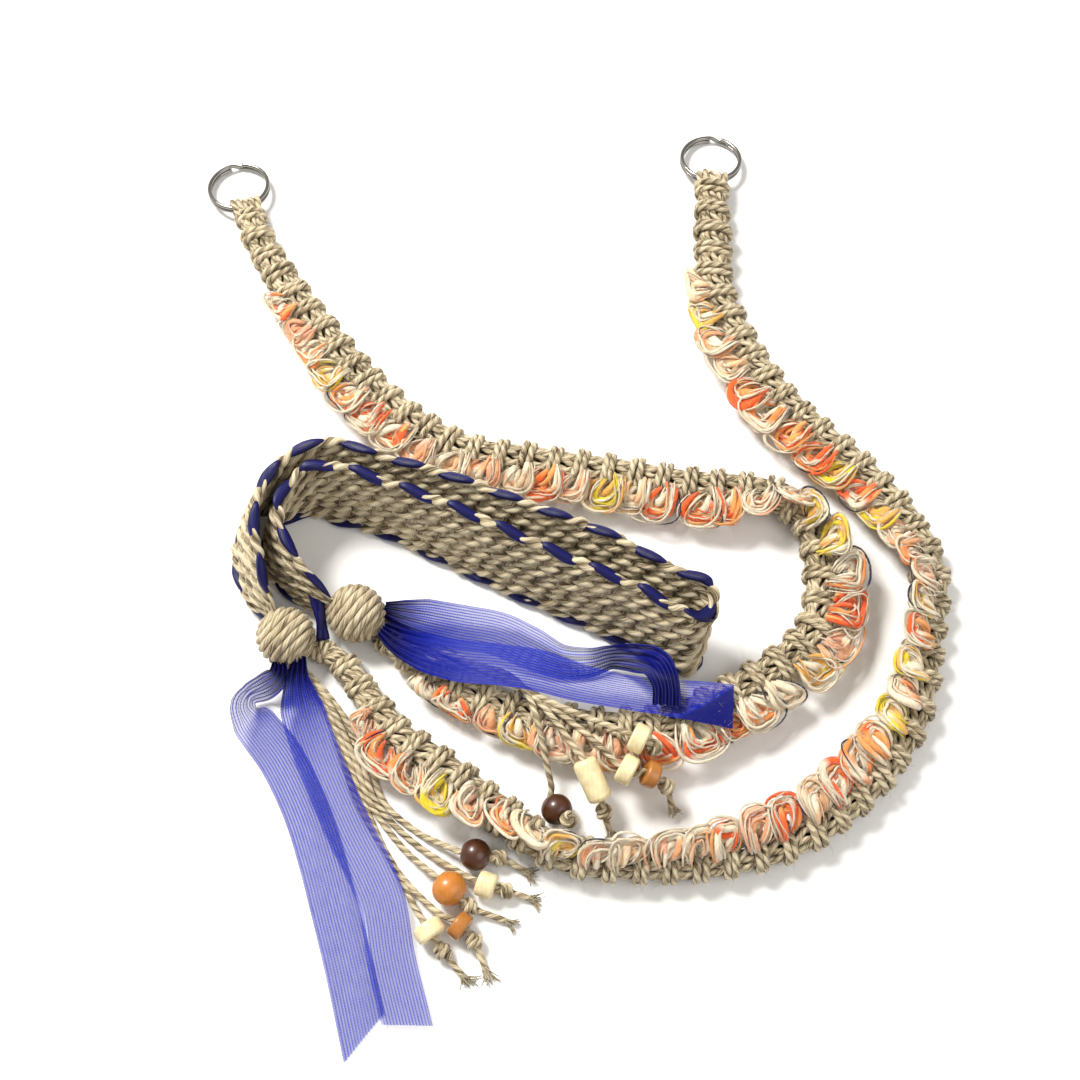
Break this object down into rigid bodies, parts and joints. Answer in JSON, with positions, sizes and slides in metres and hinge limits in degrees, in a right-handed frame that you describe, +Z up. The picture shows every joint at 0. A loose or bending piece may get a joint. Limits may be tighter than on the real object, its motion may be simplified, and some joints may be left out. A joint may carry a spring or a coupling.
{
  "type": "macrame neck strap",
  "caption": "Knotted hemp neck strap laid down in curves, with a woven band, ribbon tails, beaded tassels and split rings at its ends.",
  "frame": {"origin": "middle of the strap's box in plan, on the table it lies on", "axes": "+Z up, +Y from the tails towards the split rings, +X to the viewer's right"},
  "size_m": [0.216, 0.2838, 0.0278],
  "materials": {
    "hemp": "matt natural hemp cord",
    "woven_hemp": "matt hemp weave with blue ribbon edges",
    "slub_yarn": "soft slub yarn, cream, orange and yellow",
    "organza": "sheer blue organza",
    "steel": "polished wire",
    "dark_bead": "dark glossy lacquer",
    "orange_bead": "glossy lacquer",
    "cream_bead": "pale glossy lacquer",
    "brown_bead": "satin lacquer"
  },
  "bodies": {
    "root": {"left_split_ring": "steel", "right_split_ring": "steel", "left_arm_sennit": "hemp", "left_arm_yarn_edge": "slub_yarn", "right_arm_sennit": "hemp", "right_arm_yarn_edge": "slub_yarn", "left_ball_knot": "hemp", "right_ball_knot": "hemp", "woven_band": "woven_hemp", "ribbon_tail_looped": "organza", "ribbon_tail_long": "organza", "ribbon_tail_folded": "organza", "ribbon_tail_lower": "organza", "tassel_left": "hemp", "tassel_left_bead_1_round_dark": "dark_bead", "tassel_left_bead_2_drum_cream": "cream_bead", "tassel_left_bead_3_round_orange": "orange_bead", "tassel_left_bead_4_disc_brown": "brown_bead", "tassel_left_bead_5_disc_cream": "cream_bead", "tassel_right": "hemp", "tassel_right_bead_1_round_dark": "dark_bead", "tassel_right_bead_2_tube_cream": "cream_bead", "tassel_right_bead_3_disc_cream": "cream_bead", "tassel_right_bead_4_disc_brown": "brown_bead", "tassel_right_bead_5_disc_cream": "cream_bead"}
  },
  "joints": []
}
